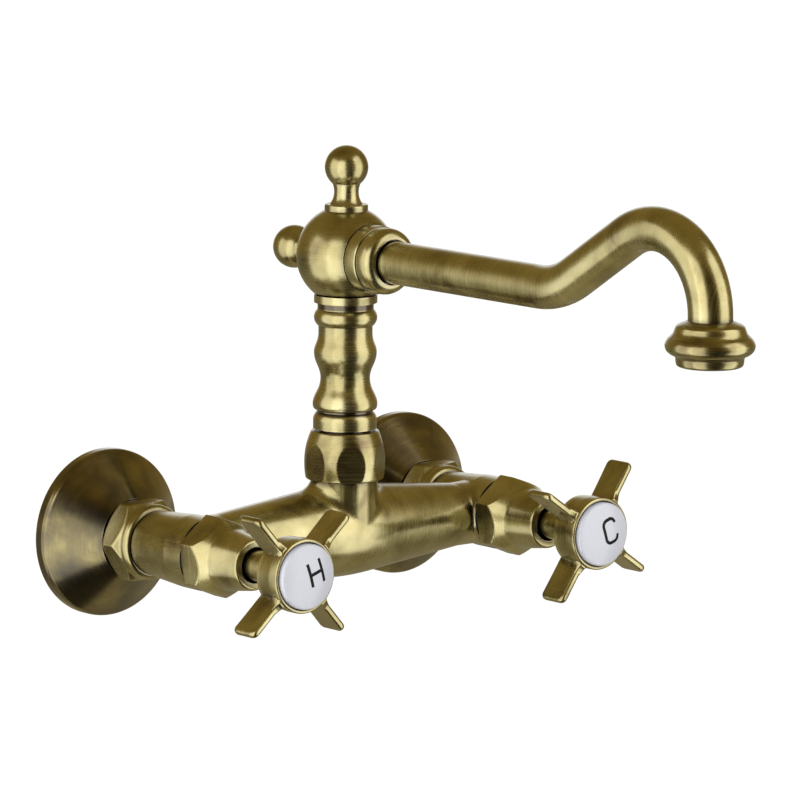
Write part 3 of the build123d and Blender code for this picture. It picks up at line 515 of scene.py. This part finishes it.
# bonnets and nuts: edges of the hexagons rubbed soft; each bonnet's nose has a thick rolled mouth
bonnet = dict(
    segments=96,
    # the rolled mouth: radius, reach from the wall, rounding
    mouth=((6.5, 88.0, 0), (9.2, 88.0, 0), (9.2, 95.4, 0.7), (6.5, 95.4, 0.7)),
)
nothing = ([], [])  # no extra points and no extra faces
for side, sign in sides.items():
    centre = (sign * place["valveX"], 0, place["valveZ"])
    mouth = turnedPoints(roundedLine(bonnet["mouth"]), centre, (0, -1, 0), bonnet["segments"])
    valveBonnet = rubbedCopy(side + "ValveBonnet", "valve_bonnet_" + side, mouth, brassBrushed)
    unionNut = rubbedCopy(side + "UnionNut", "union_nut_" + side, nothing, brassBrushed)
    for piece, node in ((valveBonnet, "valve_bonnet_"), (unionNut, "union_nut_")):
        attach(piece, "body")
        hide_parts(node + side)
swivelNut = rubbedCopy("swivelNut", "swivel_nut", nothing, brassUpright)
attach(swivelNut, "body")
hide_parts("swivel_nut")
print("bonnets and nuts ready,", len(valveBonnet.data.polygons), "faces on the last bonnet")

# spout collar: a flange with rolled edges against the ball, a fine groove and a nose rounding in to the tube
collar = dict(
    segments=144,
    # radius, distance from the column's axis, rounding
    corners=((8.45, 13.0, 0), (12.5, 13.5, 0), (13.35, 15.0, 0.8), (13.35, 21.0, 0.8), (12.55, 21.05, 0.15),
             (12.55, 21.7, 0.15), (12.95, 21.75, 0.3), (12.95, 28.6, 4.2), (9.3, 28.76, 0.5), (9.3, 26.8, 0),
             (8.45, 26.8, 0)),
)
centre = (0, place["columnY"], place["ballZ"])
points, faces = turnedPoints(roundedLine(collar["corners"]), centre, (0, -1, 0), collar["segments"])
spoutCollar = meshPiece("spoutCollar", points, faces, brassBrushed)
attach(spoutCollar, "spout")
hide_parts("spout_collar")
print("spout collar ready")

# supply unions: eccentric pipe ends, each with a half-inch pipe thread wound round its tail
unions = dict(
    # millimetres; a skew neck leads from the threaded tail up to the spigot
    segments=96, skewLength=7.0, spigotEnd=26.2, spigot=13.22, spigotBore=9.0, tailBore=7.0, tailTop=10.45,
    tailEnd=20.0, chamfer=0.7, neckFrom=1.2, neckTo=0.6,
    root=9.35, crest=10.45, pitch=1.814, threadFrom=2.2, threadTo=19.4, cutsPerTurn=48,
    # where the ridge's middle lies, as a share of the depth; at 16 its ends reach full height in a sixteenth
    # of the thread
    ridgeMiddle=0.25, runOut=16.0,
)


def unionPoints(size, x):
    # rings (y, z, radius) over the outside from the tail's end to the spigot, then back through the bore
    lift, root, top, tailEnd = place["valveZ"], size["root"], size["tailTop"], size["tailEnd"]
    rings = (
        (tailEnd, 0, root - size["chamfer"]), (tailEnd - size["chamfer"], 0, root),
        (size["neckFrom"], 0, root), (size["neckTo"], 0, top), (0, 0, top),
        (-size["skewLength"], lift, size["spigot"]), (-size["spigotEnd"], lift, size["spigot"]),
        (-size["spigotEnd"], lift, size["spigotBore"]), (-size["skewLength"], lift, size["spigotBore"]),
        (0, 0, size["tailBore"]), (tailEnd, 0, size["tailBore"]),
    )
    count = size["segments"]
    turns = [2 * pi * k / count for k in range(count)]
    points = [(x + r * cos(t), y, z + r * sin(t)) for y, z, r in rings for t in turns]
    faces = []
    for number in range(len(rings)):
        faces += bandFaces(number * count, (number + 1) % len(rings) * count, count)
    return points, faces


def threadTree():
    tree = bpy.data.node_groups.new("tailThread", "GeometryNodeTree")
    tree.interface.new_socket("Geometry", in_out="INPUT", socket_type="NodeSocketGeometry")
    for label, kind in (("Pitch", "Float"), ("Turns", "Float"), ("Middle Radius", "Float"),
                        ("Ridge", "Float"), ("Run Out", "Float"), ("Cuts Per Turn", "Int"),
                        ("First Thread", "Vector"), ("Spacing", "Vector"), ("Brass", "Material")):
        tree.interface.new_socket(label, in_out="INPUT", socket_type="NodeSocket" + kind)
    tree.interface.new_socket("Geometry", in_out="OUTPUT", socket_type="NodeSocketGeometry")
    given = addNode(tree, "NodeGroupInput").outputs
    height = addNode(tree, "ShaderNodeMath", {"operation": "MULTIPLY"},
                     {0: given["Pitch"], 1: given["Turns"]})
    helix = addNode(tree, "GeometryNodeCurveSpiral", links={
        "Resolution": given["Cuts Per Turn"], "Rotations": given["Turns"], "Height": height.outputs[0],
        "Start Radius": given["Middle Radius"], "End Radius": given["Middle Radius"]})
    upright = addNode(tree, "GeometryNodeSetCurveNormal", {"mode": "Z_UP"}, {"Curve": helix.outputs[0]})
    # the ridge runs out to nothing at both ends of the thread
    along = addNode(tree, "GeometryNodeSplineParameter")
    nearEnd = addNode(tree, "ShaderNodeMath", {"operation": "PINGPONG", 1: 0.5}, {0: along.outputs["Factor"]})
    swell = addNode(tree, "ShaderNodeMath", {"operation": "MULTIPLY", "use_clamp": True},
                    {0: nearEnd.outputs[0], 1: given["Run Out"]})
    # its section is a square with one corner outwards
    section = addNode(tree, "GeometryNodeCurvePrimitiveCircle", {"Resolution": 4}, {"Radius": given["Ridge"]})
    ridge = addNode(tree, "GeometryNodeCurveToMesh", {"Fill Caps": True},
                    {"Curve": upright.outputs[0], "Profile Curve": section.outputs[0],
                     "Scale": swell.outputs[0]})
    laid = addNode(tree, "GeometryNodeTransform", {"Rotation": (-pi / 2, 0, 0)},
                   {"Geometry": ridge.outputs[0]})
    pair = addNode(tree, "GeometryNodeMeshLine", {"Count": len(sides)},
                   {"Start Location": given["First Thread"], "Offset": given["Spacing"]})
    threads = addNode(tree, "GeometryNodeInstanceOnPoints",
                      links={"Points": pair.outputs[0], "Instance": laid.outputs[0]})
    both = addNode(tree, "GeometryNodeJoinGeometry", links={0: given["Geometry"]})
    tree.links.new(threads.outputs[0], both.inputs[0])
    real = addNode(tree, "GeometryNodeRealizeInstances", links={0: both.outputs[0]})
    finish = addNode(tree, "GeometryNodeSetMaterial",
                     links={"Geometry": real.outputs[0], "Material": given["Brass"]})
    addNode(tree, "NodeGroupOutput", links={0: finish.outputs[0]})
    return tree


def threadedUnions(size):
    points, faces = [], []
    for sign in sides.values():
        morePoints, moreFaces = unionPoints(size, sign * place["valveX"])
        faces += [tuple(len(points) + k for k in face) for face in moreFaces]
        points += morePoints
    piece = meshPiece("supplyUnions", points, faces, brassBrushed)
    wind = piece.modifiers.new("thread", "NODES")
    wind.node_group = threadTree()
    depth = size["crest"] - size["root"]
    values = {
        "Pitch": size["pitch"] * mm, "Turns": (size["threadTo"] - size["threadFrom"]) / size["pitch"],
        "Middle Radius": (size["root"] + depth * size["ridgeMiddle"]) * mm,
        "Ridge": depth * (1 - size["ridgeMiddle"]) * mm,
        "Run Out": size["runOut"], "Cuts Per Turn": size["cutsPerTurn"],
        "First Thread": Vector((-place["valveX"], size["threadFrom"], 0)) * mm,
        "Spacing": Vector((2 * place["valveX"], 0, 0)) * mm, "Brass": brassBrushed,
    }
    for socket in wind.node_group.interface.items_tree:
        if socket.in_out == "INPUT" and socket.name in values:
            wind[socket.identifier] = values[socket.name]
    applyModifiers(piece).set_sharp_from_angle(angle=radians(meshing["sharpAngle"]))
    return piece


supplyUnions = threadedUnions(unions)
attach(supplyUnions, "body")
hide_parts("wall_union_hot", "wall_union_cold")
print("supply unions ready,", len(supplyUnions.data.polygons), "faces")

# camera fitted to the photographed view: a long lens from the left, a little above; metres and degrees, with
# the lens and its sensor in millimetres
cameraView = dict(
    place=(-1.5790, -1.9490, 0.4455), azimuth=40.36, elevation=8.89, roll=0.46, lens=286.4, sensor=36.0,
    clipEnd=60.0,
)


def addCamera(view):
    azimuth, elevation, roll = (radians(view[k]) for k in ("azimuth", "elevation", "roll"))
    ahead = Vector((sin(azimuth) * cos(elevation), cos(azimuth) * cos(elevation), -sin(elevation)))
    right = ahead.cross(Vector((0, 0, 1))).normalized()
    up = right.cross(ahead)
    rolledRight = right * cos(roll) + up * sin(roll)
    rolledUp = up * cos(roll) - right * sin(roll)
    data = bpy.data.cameras.new("camera")
    data.lens = view["lens"]
    data.sensor_width = view["sensor"]
    data.clip_end = view["clipEnd"]
    camera = bpy.data.objects.new("camera", data)
    turn = Matrix((rolledRight, rolledUp, -ahead)).transposed().to_4x4()
    camera.matrix_world = Matrix.Translation(view["place"]) @ turn
    scene.collection.objects.link(camera)
    scene.camera = camera
    return Vector((ahead.x, ahead.y, 0)).normalized()


levelAhead = addCamera(cameraView)

# plain studio: a tall softbox on each side of the camera, a wide fill further left, a pale floor, and a room
# that is dark round the camera and white behind the object; metres and degrees, angles and turns counted
# from the camera's own direction, to the right seen from the camera
studio = dict(
    centre=(0.0, -0.13, 0.06),
    lamps=(
        dict(name="softboxLeft", angle=-29, rise=-7, distance=0.8, size=(0.6, 1.75), radiance=2.1),
        dict(name="sideFill", angle=-71, rise=-4, distance=1.05, size=(1.0, 1.7), radiance=1.5),
        dict(name="softboxRight", angle=73, rise=5, distance=1.0, size=(0.85, 2.2), radiance=2.15),
    ),
    white="#ffffff", room="#968047", whiteSpan=(0.86, 0.985), diffuse=0.5,
    dark="#483717", darkTurn=14, darkLift=0.12, darkTall=0.4, darkSpan=(0.78, 0.95),
    floorZ=-1.2, floorSize=30.0, floorColour="#b8ac86", floorDark="#3a3222", floorTurn=32,
    floorSpan=(0.5, 0.92), floorRoughness=0.8, floorWhite=0.9, floorGlow=1.13,
)


def fromCamera(angle):
    # the level direction towards the camera, turned by an angle
    return Matrix.Rotation(radians(angle), 3, "Z") @ -levelAhead


def addLamps(setup):
    for lamp in setup["lamps"]:
        rise = radians(lamp["rise"])
        away = fromCamera(lamp["angle"]) * cos(rise) + Vector((0, 0, sin(rise)))
        data = bpy.data.lights.new(lamp["name"], "AREA")
        data.shape = "RECTANGLE"
        data.size, data.size_y = lamp["size"]
        data.energy = lamp["radiance"] * pi * data.size * data.size_y
        light = bpy.data.objects.new(lamp["name"], data)
        light.location = Vector(setup["centre"]) + away * lamp["distance"]
        light.rotation_mode = "QUATERNION"
        light.rotation_quaternion = (-away).to_track_quat("-Z", "Y")
        scene.collection.objects.link(light)


def facingShare(tree, source, towards, span):
    # how far a direction faces towards another: none below the span's first value, all above its second
    facing = addNode(tree, "ShaderNodeVectorMath", {"operation": "DOT_PRODUCT", 1: towards}, {0: source})
    low, high = span
    return addNode(tree, "ShaderNodeMapRange",
                   {"interpolation_type": "SMOOTHSTEP", "From Min": low, "From Max": high},
                   {"Value": facing.outputs["Value"]}).outputs["Result"]


def addRoom(setup):
    world = bpy.data.worlds.new("studioWorld")
    world.use_nodes = True
    tree = world.node_tree
    path = addNode(tree, "ShaderNodeLightPath")
    way = addNode(tree, "ShaderNodeTexCoord").outputs["Generated"]
    # the dark side of the room is a tall stripe round the camera, so heights count less than turns there
    tall = addNode(tree, "ShaderNodeVectorMath",
                   {"operation": "MULTIPLY_ADD", 1: (1, 1, setup["darkTall"]), 2: (0, 0, setup["darkLift"])},
                   {0: way})
    stripe = addNode(tree, "ShaderNodeVectorMath", {"operation": "NORMALIZE"}, {0: tall.outputs["Vector"]})
    darkShare = facingShare(tree, stripe.outputs["Vector"], fromCamera(setup["darkTurn"]), setup["darkSpan"])
    room = addNode(tree, "ShaderNodeMix",
                   {"data_type": "RGBA", 6: hexLinear(setup["room"]), 7: hexLinear(setup["dark"])},
                   {0: darkShare})
    whiteShare = facingShare(tree, way, levelAhead, setup["whiteSpan"])
    white = hexLinear(setup["white"])
    bright = addNode(tree, "ShaderNodeMix", {"data_type": "RGBA", 7: white},
                     {0: whiteShare, 6: room.outputs[2]})
    soft = setup["diffuse"]
    lit = addNode(tree, "ShaderNodeMix", {"data_type": "RGBA", 7: (soft, soft, soft, 1)},
                  {0: path.outputs["Is Diffuse Ray"], 6: bright.outputs[2]})
    seen = addNode(tree, "ShaderNodeMix", {"data_type": "RGBA", 7: white},
                   {0: path.outputs["Is Camera Ray"], 6: lit.outputs[2]})
    tree.links.new(seen.outputs[2], tree.nodes["Background"].inputs["Color"])
    scene.world = world


def floorMaterial(setup):
    material, tree, shader = startMaterial("paleFloor")
    # the floor is dark on the camera's side, as the room is
    spot = addNode(tree, "ShaderNodeTexCoord").outputs["Object"]
    level = addNode(tree, "ShaderNodeVectorMath", {"operation": "MULTIPLY", 1: (1, 1, 0)}, {0: spot})
    outward = addNode(tree, "ShaderNodeVectorMath", {"operation": "NORMALIZE"}, {0: level.outputs["Vector"]})
    cameraSide = fromCamera(setup["floorTurn"])
    darkShare = facingShare(tree, outward.outputs["Vector"], cameraSide, setup["floorSpan"])
    pale, dark = hexLinear(setup["floorColour"]), hexLinear(setup["floorDark"])
    tint = addNode(tree, "ShaderNodeMix", {"data_type": "RGBA", 6: pale, 7: dark}, {0: darkShare})
    setNode(tree, shader, {"Roughness": setup["floorRoughness"]}, {"Base Color": tint.outputs[2]})
    # the camera sees it white
    path = addNode(tree, "ShaderNodeLightPath")
    share = addNode(tree, "ShaderNodeMath", {"operation": "MULTIPLY", 1: setup["floorWhite"]},
                    {0: path.outputs["Is Camera Ray"]})
    glow = addNode(tree, "ShaderNodeEmission",
                   {"Color": hexLinear(setup["white"]), "Strength": setup["floorGlow"]})
    shown = addNode(tree, "ShaderNodeMixShader",
                    links={0: share.outputs[0], 1: shader.outputs[0], 2: glow.outputs[0]})
    # the floor shows from above only, so that a low camera sees the object through it
    under = addNode(tree, "ShaderNodeNewGeometry")
    clear = addNode(tree, "ShaderNodeBsdfTransparent")
    oneSided = addNode(tree, "ShaderNodeMixShader",
                       links={0: under.outputs["Backfacing"], 1: shown.outputs[0], 2: clear.outputs[0]})
    tree.links.new(oneSided.outputs[0], tree.nodes["Material Output"].inputs["Surface"])
    return material


def addFloor(setup):
    half = setup["floorSize"] / 2
    mesh = bpy.data.meshes.new("floor")
    corners = [(-half, -half, 0), (half, -half, 0), (half, half, 0), (-half, half, 0)]
    mesh.from_pydata(corners, [], [(0, 1, 2, 3)])
    mesh.materials.append(floorMaterial(setup))
    floor = bpy.data.objects.new("floor", mesh)
    floor.location.z = setup["floorZ"]
    scene.collection.objects.link(floor)


addLamps(studio)
addRoom(studio)
addFloor(studio)
print("camera and studio ready")
